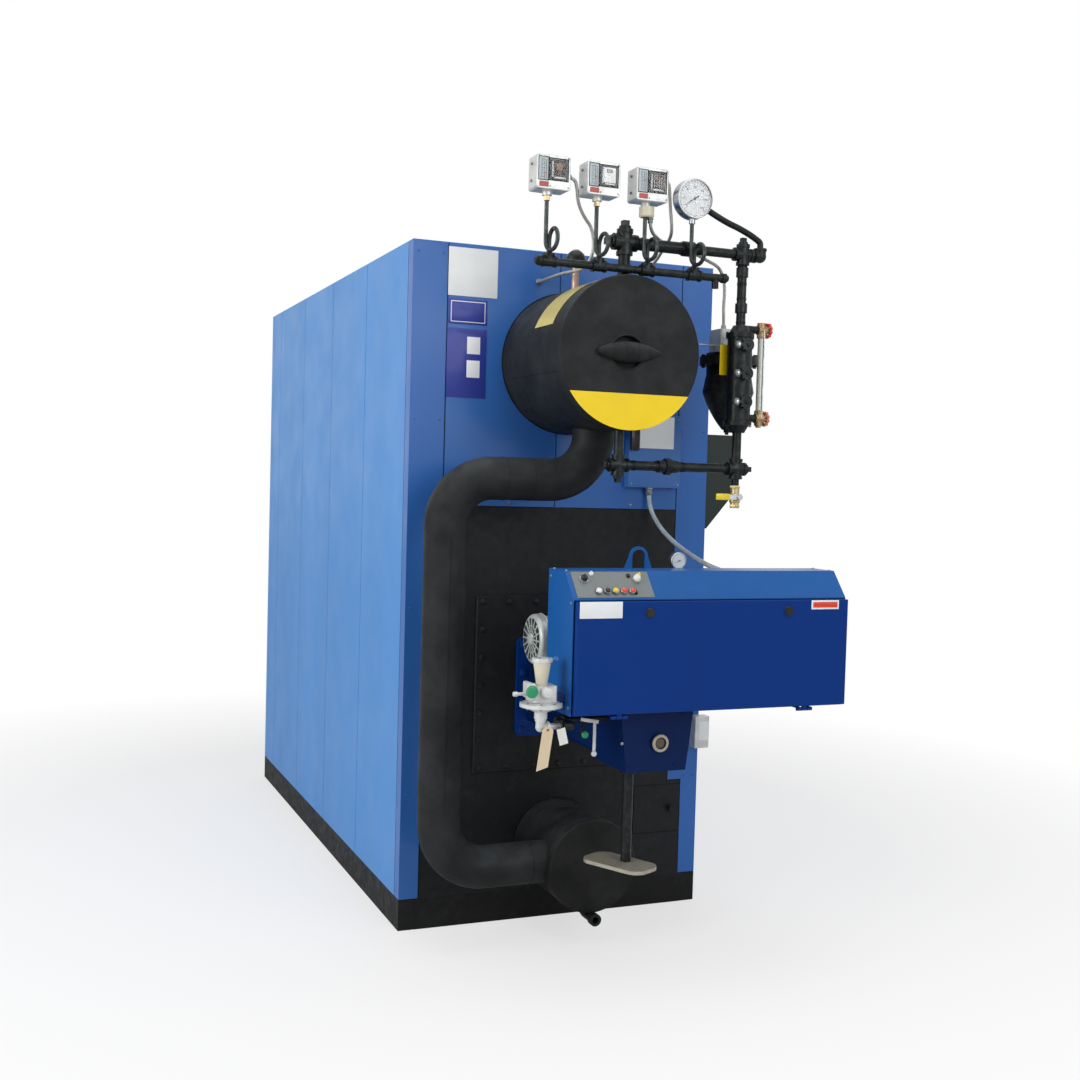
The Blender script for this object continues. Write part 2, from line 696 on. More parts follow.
def build_camera():
    """The photograph's camera, as solved from the casing's edges."""
    data = bpy.data.cameras.new("photo_view")
    data.lens = 43.55
    data.sensor_width = 36
    data.clip_end = 200
    camera = new_object("photo_view", data)
    right = Vector((0.92420, -0.38093, 0.02755))
    up = Vector((-0.00928, 0.04973, 0.99873))
    back = right.cross(up).normalized()
    turn = Matrix((right, up, back)).transposed().to_4x4()
    camera.matrix_world = Matrix.Translation((-1.95878, -5.81413, 1.63759)) @ turn
    bpy.context.scene.camera = camera


# Casing

def front_screws():
    """Screws of the front posts and sheets, and the bolts of the access plate and the flange."""
    beside_plate = 0.552
    with piece("front_screws", "front", "front_blue") as bm:
        for x in (-0.590, -0.496, 0.496, 0.590):
            for z in (0.50, 1.18, 1.86, 2.46):
                moved = abs(x) < 0.55 and z < 0.62
                add_screw(bm, (math.copysign(beside_plate, x) if moved else x, FRONT, z), FORWARD, 0.0045)
    with piece("sheet_screws", "steel", "bare_steel") as bm:
        for x in (-0.22, 0.28):
            add_screw(bm, (x, FRONT, 1.568), FORWARD, 0.0050)
    inset = 0.022
    with piece("access_bolts", "iron_dark", "furnace_black") as bm:
        low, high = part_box("access_plate")
        across = [low.x + inset + (high.x - low.x - 2 * inset) * step / 6 for step in range(7)]
        upward = [low.z + inset + (high.z - low.z - 2 * inset) * step / 6 for step in range(7)]
        bolt_edges(bm, across, upward, low.y, 0.010)
    with piece("flange_bolts", "burner", "burner_blue") as bm:
        low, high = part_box("burner_flange")
        across = (low.x + inset, 0.0, high.x - inset)
        upward = (low.z + 0.025, low.z + 0.13, high.z - 0.13, high.z - 0.025)
        bolt_edges(bm, across, upward, low.y, 0.013)


def casing_plates():
    """Bare plates on the left of the upper front sheet."""
    centre = (-0.3825, FRONT - 0.001, 2.398)
    box_piece("white_plate", "white_plate", "dial_white", centre, (0.189, 0.002, 0.174), 0.0008)
    with piece("blue_plates", ("blue_plate", "white_plate"), "front_blue", (-0.399, FRONT, 0)) as bm:
        add_box(bm, (0, -0.0009, 2.255), (0.148, 0.0018, 0.090), 0.0007)
        add_box(bm, (-0.002, -0.0009, 2.070), (0.152, 0.0018, 0.250), 0.0007)
        add_box(bm, (0, -0.0020, 2.255), (0.132, 0.0006, 0.076), 0.0002, 1)
        add_box(bm, (0, -0.0026, 2.255), (0.126, 0.0006, 0.070), 0.0002)
        for z in (2.135, 2.050):
            add_box(bm, (0.024, -0.0021, z), (0.050, 0.0006, 0.062), 0.0002, 1)


# Drums

def drum_face_band():
    """Yellow band across the foot of the drum's face, below a chord."""
    radius = DRUM_R + 0.0012
    start = math.asin(-0.530 * DRUM_R / radius)
    steps = 48
    outline = []
    for step in range(steps + 1):
        angle = -math.pi - start + (math.pi + 2 * start) * step / steps
        outline.append((radius * math.cos(angle), radius * math.sin(angle)))
    with piece("drum_face_band", "yellow", "lever_yellow", (0, DRUM_FACE, DRUM_Z)) as bm:
        add_plate(bm, outline, Matrix.Identity(4), -0.0009, 0.0002)


def barrel_strip():
    """Yellow tape on the upper left of the drum's barrel."""
    radius = DRUM_R + 0.0024
    steps = 24
    with piece("barrel_strip", "pale_yellow", "lever_yellow", (0, FRONT, DRUM_Z)) as bm:
        rows = []
        for step in range(steps + 1):
            angle = math.radians(160 - 56 * step / steps)
            slant = 0.012 * step / steps
            x = radius * math.cos(angle)
            z = radius * math.sin(angle)
            rows.append([bm.verts.new((x, y - slant, z)) for y in (-0.273, -0.433)])
        faces = [bm.faces.new((low[0], low[1], high[1], high[0])) for low, high in zip(rows, rows[1:])]
        bmesh.ops.solidify(bm, geom=faces, thickness=-0.0014)


def foam_seams():
    """Glued joints of the insulation, each a low ridge."""
    with piece("foam_seams", "foam_tape", "insulation_black") as bm:
        for z in (1.452, 0.508):
            add_rim(bm, (-0.546, PIPES_Y, z), UP, 0.0744, 0.0009)
        for x in (-0.345, -0.245):
            add_rim(bm, (x, PIPES_Y, 1.655), RIGHT, 0.0747, 0.0018)
        add_rim(bm, (-0.215, PIPES_Y, 0.290), RIGHT, 0.0747, 0.0022)
        for y in (FRONT - 0.490, FRONT - 0.215):
            add_rim(bm, (0, y, DRUM_Z), BACK, DRUM_R - 0.0004, 0.0016)
        add_rim(bm, (0, FRONT - 0.326, LOWER_DRUM_Z), BACK, 0.1660, 0.0020)
        add_rim(bm, (0, FRONT - 0.120, LOWER_DRUM_Z), BACK, 0.1648, 0.0014)
    with piece("foam_long_seams", "foam_tape", "insulation_black") as bm:
        add_tube(bm, [(-0.552, PIPES_Y - 0.0752, z) for z in (0.52, 0.80, 1.10, 1.44)], 0.0022, 8)
        angle = math.radians(196)
        x = (DRUM_R + 0.0002) * math.cos(angle)
        z = DRUM_Z + (DRUM_R + 0.0002) * math.sin(angle)
        add_tube(bm, [(x, FRONT - reach, z) for reach in (0.03, 0.25, 0.489)], 0.0020, 8)


def manhole_rim():
    """Soft rolled edge of the foam around the oval recess, and the yoke's tape turns."""
    low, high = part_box("manhole_yoke")
    steps = 48
    with piece("manhole_wrap", "foam_tape", "insulation_black", ((low.x + high.x) / 2, 0, DRUM_Z)) as bm:
        points = []
        for step in range(steps + 1):
            angle = 2 * math.pi * step / steps
            points.append((0.0625 * math.cos(angle), DRUM_FACE + 0.0012, 0.0575 * math.sin(angle)))
        add_tube(bm, points, 0.0035, 10, closed_ends=False)
        for x, radius in ((-0.064, 0.0255), (-0.022, 0.0328), (0.024, 0.0326), (0.068, 0.0248)):
            add_rim(bm, (x, low.y + 0.0342, 0), RIGHT, radius, 0.0016)


# Pressure controls and gauges

def control_scale(number, corner):
    """Scale plate with its lines, pointer and red label, left of the window."""
    materials = ("scale", "black_plastic", "red_print")
    with piece(f"control_scale_{number + 1}", materials, "dial_white", corner) as bm:
        add_box(bm, (-0.0365, -0.0002, 0.065), (0.037, 0.0020, 0.078), 0.0004, 1)
        add_box(bm, (-0.0370, -0.0008, 0.065), (0.032, 0.0022, 0.072), 0.0006)
        for step in range(13):
            length = 0.012 if step % 3 == 0 else 0.007
            spot = (-0.0465 + length / 2, -0.0021, 0.036 + 0.0048 * step)
            add_box(bm, spot, (length, 0.0006, 0.0009), 0, 1)
        for x in (-0.0335, -0.0275):
            add_box(bm, (x, -0.0021, 0.062), (0.0010, 0.0006, 0.062), 0, 1)
        add_box(bm, (-0.0305, -0.0026, 0.050 + 0.009 * number), (0.009, 0.0012, 0.0022), 0.0003, 2)
        add_box(bm, (-0.034, -0.0010, 0.0150), (0.032, 0.0020, 0.0165), 0.0005, 2)


def control_works(number, corner):
    """Window frame and the works behind it, which differ from control to control."""
    materials = ("dark", "steel", "copper", "white_plate")
    deep = corner + Vector((0.0168, 0.0036, 0))
    with piece(f"control_works_{number + 1}", materials, "control_grey", deep) as bm:
        add_box(bm, (0, 0, 0.065), (0.064, 0.0008, 0.066))
        for side in (-1, 1):
            add_box(bm, (0.0345 * side, -0.0042, 0.065), (0.0028, 0.0014, 0.074), 0.0003)
            add_box(bm, (0, -0.0042, 0.065 + 0.0355 * side), (0.070, 0.0014, 0.0028), 0.0003)
        add_box(bm, (-0.020, -0.0016, 0.066), (0.006, 0.0016, 0.052), 0.0004, 1)
        add_box(bm, (0.006, -0.0016, 0.040), (0.040, 0.0016, 0.006), 0.0004, 1)
        if number == 0:
            coil = [(0.0125, 0), (0.0125, 0.0012), (0.010, 0.0022), (0.0045, 0.0022), (0.004, 0.0028)]
            add_turned(bm, coil, (0.004, 0, 0.076), FORWARD, 28, 2)
            for step in range(5):
                add_box(bm, (0.004, -0.0016, 0.060 - 0.0035 * step), (0.012, 0.0014, 0.0016), 0.0003, 2)
        elif number == 1:
            add_box(bm, (0.003, -0.0014, 0.069), (0.046, 0.0018, 0.050), 0.0005, 3)
            add_box(bm, (0.003, -0.0026, 0.082), (0.022, 0.0010, 0.012), 0.0004, 1)
        else:
            for step in range(5):
                add_box(bm, (-0.010 + 0.009 * step, -0.0016, 0.070), (0.0022, 0.0016, 0.048), 0.0003, 1)
            for step in range(4):
                add_box(bm, (0.008, -0.0022, 0.054 + 0.011 * step), (0.034, 0.0010, 0.0016), 0.0002, 2)


def control_screws(number, corner):
    """Cover screws, the two bolts on the side and the adjusting screws on top."""
    middle_y = MANIFOLD_Y - CONTROL_FACE
    with piece(f"control_screws_{number + 1}", "steel", "bare_steel", corner) as bm:
        for x, z in ((-0.052, 0.104), (0.052, 0.104), (0.052, 0.010), (-0.012, 0.010)):
            add_screw(bm, (x, 0, z), FORWARD, 0.0030)
        for z in (0.030, 0.085):
            add_hex_bolt(bm, (-0.060, middle_y + 0.008, z), LEFT, 0.0045)
        for forward, radius in ((0.004, 0.010), (0.029, 0.0034)):
            spot = (0, middle_y - forward, 0.112)
            add_turned(bm, [(radius, 0), (radius, 0.0002), (0, 0.0003)], spot, UP, 24)


def control_faces():
    """Everything on the faces of the three pressure controls."""
    for number in range(3):
        corner = Vector((OUTLET_X - 0.005 + OUTLET_STEP * number, CONTROL_FACE, CONTROL_Z))
        control_scale(number, corner)
        control_works(number, corner)
        pane = corner + Vector((0.0168, 0.0004, 0.065))
        size = (0.0668, 0.0008, 0.0690)
        box_piece(f"control_pane_{number + 1}", "glass", "control_grey", pane, size, smooth=False)
        control_screws(number, corner)
        foot = "brass" if number < 2 else "steel"
        paint(f"pressure_control_{number + 1}", foot, lambda centre: centre.z < CONTROL_Z - 0.0145)


DIAL_START = 225
DIAL_SWEEP = 270
NUMBER_STEP = 20
MARKS_PER_NUMBER = 5
NEEDLE = (
    (-0.28, 0.035), (0.0, 0.026), (0.78, 0.006), (0.80, 0.0),
    (0.78, -0.006), (0.0, -0.026), (-0.28, -0.035), (-0.34, 0.0),
)


def dial_marks(bm, radius, numbers):
    """Scale lines of a dial, longer at each number."""
    count = numbers * MARKS_PER_NUMBER
    for step in range(count + 1):
        angle = math.radians(DIAL_START - DIAL_SWEEP * step / count)
        at_number = step % MARKS_PER_NUMBER == 0
        length = radius * (0.14 if at_number else 0.075)
        width = radius * (0.022 if at_number else 0.012)
        middle = radius * 0.90 - length / 2
        spot = (middle * math.cos(angle), -0.0008, middle * math.sin(angle))
        add_box(bm, spot, (length, 0.0003, width), turn=Matrix.Rotation(-angle, 4, "Y"))


def dial_numbers(name, centre, radius, numbers):
    """Numbers of a dial, each a text of its own."""
    reach = radius * 0.64
    for step in range(numbers + 1):
        angle = math.radians(DIAL_START - DIAL_SWEEP * step / numbers)
        data = bpy.data.curves.new(f"{name}_number_{step}", "FONT")
        data.body = str(step * NUMBER_STEP)
        data.size = radius * 0.17
        data.align_x = "CENTER"
        data.align_y = "CENTER"
        data.extrude = 0.0001
        data.materials.append(M["black_plastic"])
        text = new_object(f"{name}_number_{step}", data)
        text.location = Vector(centre) + Vector((reach * math.cos(angle), -0.0009, reach * math.sin(angle)))
        text.rotation_euler = (math.pi / 2, 0, 0)
        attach(text, "boiler")


def round_dial(name, centre, radius, numbers, needle_degrees):
    """White dial face with its scale lines and needle, looking to the front."""
    with piece(f"{name}_face", "white_dial", "dial_white", centre) as bm:
        add_turned(bm, [(radius, 0), (radius, 0.0006)], ORIGIN, FORWARD, 56)
    with piece(f"{name}_marks", "black_plastic", "pipe_black", centre, smooth=False) as bm:
        dial_marks(bm, radius, numbers)
        add_rim(bm, (0, -0.0007, 0), BACK, radius * 0.915, 0.00025)
    with piece(f"{name}_needle", "black_plastic", "pipe_black", centre) as bm:
        turn = Matrix.Rotation(-math.radians(needle_degrees), 4, "Y")
        add_plate(bm, [(x * radius, z * radius) for x, z in NEEDLE], turn, -0.0022, -0.0027)
        hub = scaled([(0.075, 0), (0.075, 0.0016), (0.05, 0.0022)], radius, 1)
        add_turned(bm, hub, (0, -0.0008, 0), FORWARD, 24)


def gauges():
    """Dial, bezels and pane of the pressure gauge, and the dial of the draft gauge."""
    face_y = MANIFOLD_Y - 0.018
    centre = (GAUGE_X, face_y + 0.0048, GAUGE_Z)
    round_dial("gauge", centre, 0.0632, 6, 214)
    dial_numbers("gauge", centre, 0.0632, 6)
    with piece("gauge_bezel", "chrome", "dial_white", (GAUGE_X, 0, GAUGE_Z)) as bm:
        add_rim(bm, (0, face_y, 0), BACK, 0.0655, 0.0022)
        add_rim(bm, (0, MANIFOLD_Y + 0.016, 0), BACK, 0.0672, 0.0024)
    with piece("gauge_pane", "glass", "dial_white", (GAUGE_X, face_y + 0.0004, GAUGE_Z), smooth=False) as bm:
        add_turned(bm, [(0.0625, 0), (0.0625, 0.0008)], ORIGIN, FORWARD, 56)
    low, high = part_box("draft_gauge")
    centre = Vector(((low.x + high.x) / 2, low.y - 0.0004, 1.394))
    with piece("draft_bezel", "chrome", "dial_white", centre) as bm:
        add_rim(bm, (0, 0.0012, 0), BACK, 0.0268, 0.0024)
    round_dial("draft", centre, 0.0262, 4, 200)


# Steam and water trim

def glass_trim():
    """Guard rods, sleeve and nuts of the gauge glass."""
    low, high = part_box("gauge_glass")
    line = (GLASS_X, TRIM_Y, 0)
    with piece("glass_guard_rods", "bright", "gauge_valves", line) as bm:
        for y in (-0.015, 0.015):
            add_tube(bm, [(0.004, y, low.z + 0.025), (0.004, y, high.z - 0.025)], 0.0024, 10)
    with piece("glass_sleeve", "pale_tube", "gauge_valves", line) as bm:
        add_tube(bm, [(0, 0, low.z + 0.055), (0, 0, high.z - 0.055)], 0.0118, 24)
    with piece("glass_nuts", "brass", "gauge_valves", line) as bm:
        packing_nut = mirrored([(0.0102, -0.008), (0.0158, -0.008), (0.0165, -0.005)])
        for z in (low.z + 0.046, high.z - 0.046):
            add_lathe(bm, packing_nut, (0, 0, z), UP, 6, twist=0.3)
        bonnet = [(0.006, 0), (0.013, 0), (0.0138, 0.002), (0.0138, 0.007), (0.012, 0.009), (0.006, 0.009)]
        gland = [(0.006, 0), (0.0085, 0.001), (0.0075, 0.008), (0.0055, 0.009)]
        for z in (1.895, 2.210):
            add_lathe(bm, bonnet, (0.017, 0, z), RIGHT, 6)
            add_lathe(bm, gland, (0.026, 0, z), RIGHT, 16)
        add_turned(bm, [(0.0125, 0), (0.0125, -0.004), (0.009, -0.007)], (0, 0, low.z), UP, 6)
    paint("gauge_glass", "pale_tube", lambda centre: 1.935 < centre.z < 2.170)


def column_trim():
    """Knobs, studs and plugs at the try cocks, and the flange bolts of the water column."""
    cock_x = 0.460
    with piece("try_cock_knobs", "iron_dark", "pipe_black", (cock_x, TRIM_Y - 0.0700, 0)) as bm:
        for z in TRY_COCKS:
            add_turned(bm, [(0.0075, 0), (0.0075, 0.004), (0.0052, 0.0065)], (0, 0, z), FORWARD, 14)
    with piece("try_cock_studs", "grey_casting", "pipe_black") as bm:
        stud = [(0.0042, 0), (0.0048, 0.004), (0.0048, 0.0085), (0.0032, 0.0100), (0, 0.0104)]
        for z in TRY_COCKS:
            for spot in around((cock_x, TRIM_Y - 0.0585, z), "Y", 0.0192, 8):
                add_turned(bm, stud, spot, FORWARD, 10)
    with piece("column_plugs", ("grey_casting", "bright"), "bare_steel", (0.433, TRIM_Y, 0)) as bm:
        seat = [(0.0145, 0), (0.0145, 0.0085), (0.0126, 0.0110), (0.0084, 0.0118)]
        plug = [(0.0084, 0), (0.0076, 0.0026), (0.0050, 0.0040), (0, 0.0044)]
        for z in TRY_COCKS:
            add_turned(bm, seat, (0, -0.0440, z), FORWARD, 24)
            add_turned(bm, plug, (0, -0.0556, z), FORWARD, 20, 1)
    with piece("column_bolts", "iron", "pipe_black") as bm:
        for z in (1.875, 2.186):
            for spot in around((COLUMN_X, TRIM_Y, z), "Z", 0.0463, 8, 0.5):
                add_hex_bolt(bm, spot - Vector((0, 0, 0.0095)), DOWN, 0.0040)
                add_hex_bolt(bm, spot + Vector((0, 0, 0.0080)), UP, 0.0040)


def cutoff_trim():
    """Flange bolts, drain plug, strap and yellow plate of the low-water cutoff."""
    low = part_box("cutoff_bowl")[0]
    with piece("cutoff_bolts", "iron_dark", "pipe_black", (CUTOFF_X, CUTOFF_Y, 0)) as bm:
        for spot in around(ORIGIN, "Z", 0.0970, 12, 0.5):
            add_hex_bolt(bm, (spot.x, spot.y, 2.124), UP, 0.0085)
            add_hex_bolt(bm, (spot.x, spot.y, 2.094), DOWN, 0.0075)
        plug = [(0.012, 0), (0.012, -0.010), (0.007, -0.010), (0.007, -0.018)]
        add_turned(bm, plug, (0, 0, low.z), UP, 16)
    strap = (0.4380, CUTOFF_Y, 2.1640)
    box_piece("cutoff_strap", "plate", "bare_steel", strap, (0.100, 0.014, 0.0040), 0.0008)
    plate = (0.4285, TRIM_Y + 0.044, 2.101)
    box_piece("cutoff_plate", "yellow", "lever_yellow", plate, (0.034, 0.0012, 0.108), 0.0005)


def drain_trim():
    """Nuts of the drain valve, and its lever's nut and yellow sleeve."""
    low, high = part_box("drain_lever")
    nut_place = (COLUMN_X, low.y + 0.0002, DRAIN_Z)
    with piece("drain_lever_nut", "bright", "bare_steel", nut_place, body="drain_lever") as bm:
        add_turned(bm, [(0.0120, 0), (0.0120, 0.0052), (0.0104, 0.0068)], ORIGIN, FORWARD, 6)
    sleeve = (low.x + 0.0270, (low.y + high.y) / 2, DRAIN_Z)
    size = (0.0545, high.y - low.y + 0.0032, 0.0225)
    box_piece("drain_lever_sleeve", "lever", "lever_yellow", sleeve, size, 0.0028, body="drain_lever")
    with piece("drain_valve_nuts", "brass", "brass_body", (COLUMN_X, TRIM_Y, 0)) as bm:
        for z, radius, sides in ((1.648, 0.0195, 6), (1.580, 0.0195, 6), (1.597, 0.0185, 24)):
            nut = mirrored([(0.012, -0.005), (radius, -0.005), (radius * 1.04, -0.003)])
            add_lathe(bm, nut, (0, 0, z), UP, sides)


def wheel_lobes():
    """Finger lobes around the rims of the gauge valves' hand wheels."""
    lobe = [(0.0048, 0), (0.0060, 0.0016), (0.0060, 0.0084), (0.0048, 0.0100)]
    for node, body, material, slot in (
        ("upper_gauge_wheel", "upper_wheel", "red", "wheel_red"),
        ("lower_gauge_wheel", "lower_wheel", "orange", "wheel_orange"),
    ):
        low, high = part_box(node)
        centre = (low + high) / 2
        centre.x = high.x - 0.0105
        with piece(f"{body}_lobes", material, slot, centre, body) as bm:
            for spot in around(ORIGIN, "X", (high.z - low.z) / 2 - 0.0030, 9):
                add_turned(bm, lobe, spot, RIGHT, 14)


def thread_ends():
    """Plugs, outlet nuts and thread turns on the black piping."""
    with piece("thread_ends", "iron", "pipe_black") as bm:
        plug = [(0.0125, 0), (0.0125, 0.006), (0.0105, 0.009)]
        for x, axis in ((-0.337, LEFT), (0.372, RIGHT)):
            add_turned(bm, plug, (x, MANIFOLD_Y, MANIFOLD_Z), axis, 8)
        nut = [(0.0068, 0), (0.0105, 0), (0.0105, 0.006), (0.0085, 0.008), (0.0068, 0.008)]
        for number in range(4):
            x = OUTLET_X + OUTLET_STEP * number
            add_lathe(bm, nut, (x, MANIFOLD_Y, MANIFOLD_Z + 0.0250), UP, 12)
        for x, radius in ((0.060, 0.0214), (0.215, 0.0214), (0.280, 0.0168), (0.432, 0.0168)):
            add_thread(bm, (x, TRIM_Y, HEADER_Z), RIGHT, radius, 4, 0.0034, 0.0011)
        for x in (0.052, 0.138, 0.242, 0.415):
            add_thread(bm, (x, TRIM_Y, WATER_LINE_Z), RIGHT, 0.0168, 4, 0.0032, 0.0010)
        for z in (2.428, 2.364, 2.312, 2.228):
            add_thread(bm, (COLUMN_X, TRIM_Y, z), UP, 0.0168, 3, 0.0032, 0.0010)


def vent_cap():
    """Domed cap and vent plug on the valve behind the manifold."""
    low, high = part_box("vent_valve")
    top = ((low.x + high.x) / 2, (low.y + high.y) / 2, high.z)
    dome = [
        (0.0350, -0.042), (0.0362, -0.036), (0.0350, -0.024), (0.0290, -0.012), (0.0190, -0.003),
        (0.0150, -0.0008), (0, 0.0004),
    ]
    with piece("vent_cap", ("iron", "pale_casting"), "pipe_black", top) as bm:
        add_turned(bm, dome, ORIGIN, UP, 36)
        add_turned(bm, [(0.0120, 0), (0.0120, 0.0030), (0.0085, 0.0044)], ORIGIN, UP, 20, 1)
        add_rim(bm, (0, 0, -0.0400), UP, 0.0360, 0.0020)
    paint("vent_valve", "stem", lambda centre: 2.345 < centre.z < 2.394)


# Operator panel

PANEL_RISE = 0.085
PANEL_DEPTH = 0.072
SLOPE_FOOT = Vector((-0.306, CABINET_Y, 1.285))
SLOPE_UP = Vector((0, PANEL_DEPTH, PANEL_RISE))
SLOPE_OUT = Vector((0, -PANEL_RISE, PANEL_DEPTH)).normalized()


def on_slope(x, part, lift=0.0):
    """Point on the panel: metres from its left edge, share of the slope's height, and lift."""
    return SLOPE_FOOT + Vector((x, 0, 0)) + SLOPE_UP * part + SLOPE_OUT * (0.002 + lift)


def panel_knob(name, x, part, radius, height, material, slot, lift=0.0):
    """Turned knob on the panel with a grip bar across it."""
    with piece(name, material, slot, on_slope(x, part, lift)) as bm:
        profile = scaled([(1, 0), (1, 0.35), (0.82, 0.75), (0.74, 1)], radius, height)
        add_turned(bm, profile, ORIGIN, SLOPE_OUT, 28)
        turn = basis(SLOPE_OUT, random.uniform(-0.5, 0.5)) @ Matrix.Rotation(math.pi / 2, 4, "X")
        size = (radius * 0.36, 0.0036, radius * 1.5)
        add_box(bm, SLOPE_OUT * (height + 0.0016), size, 0.0008, turn=turn)


def panel_fittings():
    """Lamps, knobs, buttons and screws of the operator panel."""
    lens = [(0.0092, 0), (0.0092, 0.002), (0.0078, 0.0045), (0.0045, 0.0062), (0, 0.0068)]
    lamp_ring = [(0.0086, 0), (0.0116, 0), (0.0116, 0.0026), (0.0104, 0.0040), (0.0086, 0.0040)]
    knob_ring = [(0.0112, 0), (0.0152, 0), (0.0152, 0.0022), (0.0136, 0.0036), (0.0112, 0.0036)]
    lamp_places = [0.134 + 0.029 * (number - 2) for number in range(5)]
    colours = ("white_lamp", "black_plastic", "yellow_lamp", "red_lamp", "red_lamp")
    for number, colour in enumerate(colours):
        foot = on_slope(lamp_places[number], 0.25, 0.0078)
        with piece(f"lamp_{number + 1}", colour, "dial_white", foot) as bm:
            add_turned(bm, lens, ORIGIN, SLOPE_OUT, 24)
    with piece("lamp_rings", "chrome", "bare_steel") as bm:
        for x in lamp_places:
            add_lathe(bm, lamp_ring, on_slope(x, 0.25, 0.0052), SLOPE_OUT, 28)
        for x, part in ((0.0375, 0.68), (0.2198, 0.66)):
            add_lathe(bm, knob_ring, on_slope(x, part, 0.0002), SLOPE_OUT, 28)
    panel_knob("switch_knob", 0.0375, 0.68, 0.0116, 0.009, "black_plastic", "pipe_black", 0.0078)
    panel_knob("white_knob", 0.2198, 0.66, 0.0128, 0.010, "white_lamp", "dial_white", 0.0078)
    panel_knob("left_button", 0.070, 0.88, 0.0080, 0.005, "white_lamp", "dial_white")
    panel_knob("dark_button", 0.196, 0.80, 0.0078, 0.005, "black_plastic", "pipe_black")
    panel_knob("yellow_button", 0.236, 0.84, 0.0072, 0.005, "yellow_lamp", "lever_yellow")
    panel_knob("lower_button", 0.203, 0.22, 0.0086, 0.006, "black_plastic", "pipe_black")
    with piece("panel_screws", "steel", "bare_steel") as bm:
        for x in (0.008, 0.260):
            for part in (0.12, 0.90):
                add_screw(bm, on_slope(x, part), SLOPE_OUT, 0.0030)


# Burner

def cabinet_details():
    """Plates, latches and screws of the control cabinet and its door."""
    paint("control_cabinet", "burner", lambda centre: centre.z < 0.9245)
    plate = (-0.2380, DOOR_Y - 0.0008, 1.2545)
    size = (0.146, 0.0016, 0.052)
    box_piece("door_plate_left", "white_plate", "dial_white", plate, size, 0.0006, body="door")
    plate = (0.5850, DOOR_Y, 1.2635)
    with piece("door_plate_right", ("white_plate", "red_lamp"), "dial_white", plate, "door") as bm:
        add_box(bm, (0, -0.0008, 0), (0.108, 0.0016, 0.030), 0.0006)
        add_box(bm, (0, -0.0018, 0), (0.096, 0.0006, 0.019), 0.0002, 1)
    latch = [(0.0150, 0), (0.0160, 0.001), (0.0160, 0.002), (0.0140, 0.0042), (0.0110, 0.0052)]
    with piece("latch_knobs", "black_plastic", "pipe_black", (0, DOOR_Y, LATCH_Z), "door") as bm:
        for x in (-0.068, 0.443):
            add_turned(bm, latch, (x, 0.0002, 0), FORWARD, 28)
            add_box(bm, (x, -0.0062, 0), (0.0060, 0.0040, 0.0280), 0.0012)
    paint("cabinet_door", "black_plastic", lambda centre: centre.y < DOOR_Y - 0.0008 and centre.z > 1.15)
    with piece("cabinet_screws", "steel", "bare_steel") as bm:
        for x, side_x, axis in ((-0.312, -0.322, LEFT), (0.673, 0.683, RIGHT)):
            for y in (-2.055, -1.960):
                add_screw(bm, (x, y, 1.370), UP, 0.0050)
            for y, z in ((-2.122, 1.272), (-2.122, 0.945), (-1.958, 0.945), (-1.958, 1.345)):
                add_screw(bm, (side_x, y, z), axis, 0.0050)
    side_plate = (-0.3232, -2.020, 0.958)
    box_piece("cabinet_side_plate", "burner", "burner_blue", side_plate, (0.0024, 0.150, 0.050), 0.0008)


def housing_details():
    """Screws and observation port of the burner's housing, and the bare foot of its leg."""
    with piece("housing_bolts", "steel", "bare_steel") as bm:
        add_screw(bm, (-0.106, HOUSING_Y, 0.813), FORWARD, 0.0060)
    with piece("housing_screws", "housing", "burner_blue") as bm:
        for x, z in ((0.112, 0.900), (-0.116, 0.900), (0.086, 0.735), (-0.075, 0.735)):
            add_screw(bm, (x, HOUSING_Y, z), FORWARD, 0.0055)
    foot_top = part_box("burner_leg")[0].z + 0.030
    paint("burner_leg", "foot", lambda centre: centre.z < foot_top)
    port = (0.027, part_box("burner_housing")[0].y, 0.810)
    ring = [
        (0.0272, -0.002), (0.0292, 0), (0.0292, 0.004), (0.0272, 0.006), (0.0198, 0.006), (0.0198, -0.004),
    ]
    with piece("observation_ring", ("foot", "port_dark"), "cream_plastic", port) as bm:
        add_lathe(bm, ring, (0, 0.004, 0), FORWARD)
        add_turned(bm, [(0.0200, 0), (0.0200, 0.0012)], (0, 0.0050, 0), FORWARD, 32, 1)


def motor_bell():
    """Ribs, hub, rims and bolts on the open end of the blower's motor."""
    ribs = 16
    end = (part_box("blower_motor")[0].x, FRONT - 0.470, 1.118)
    with piece("motor_bell_ribs", "motor", "cast_grey", end) as bm:
        for number, spot in enumerate(around((0.0004, 0, 0), "X", 0.047, ribs)):
            turn = Matrix.Rotation(2 * math.pi * number / ribs, 4, "X")
            add_box(bm, spot, (0.0064, 0.050, 0.0050), 0.0010, turn=turn)
        hub = [(0.021, 0), (0.021, 0.006), (0.018, 0.012), (0.009, 0.014)]
        add_turned(bm, hub, (0.003, 0, 0), LEFT, 28)
        for x, radius, bead in ((0.003, 0.0730, 0.0035), (0.001, 0.0450, 0.0026), (0.034, 0.0850, 0.0026)):
            add_rim(bm, (x, 0, 0), RIGHT, radius, bead)
        for spot in around((0.002, 0, 0), "X", 0.066, 4, 0.5):
            add_hex_bolt(bm, spot, LEFT, 0.0058)
    with piece("motor_bell_gaps", "dark", "pipe_black", end) as bm:
        add_lathe(bm, [(0.020, 0), (0.071, 0), (0.071, 0.0012), (0.020, 0.0012)], (0.0008, 0, 0), LEFT)


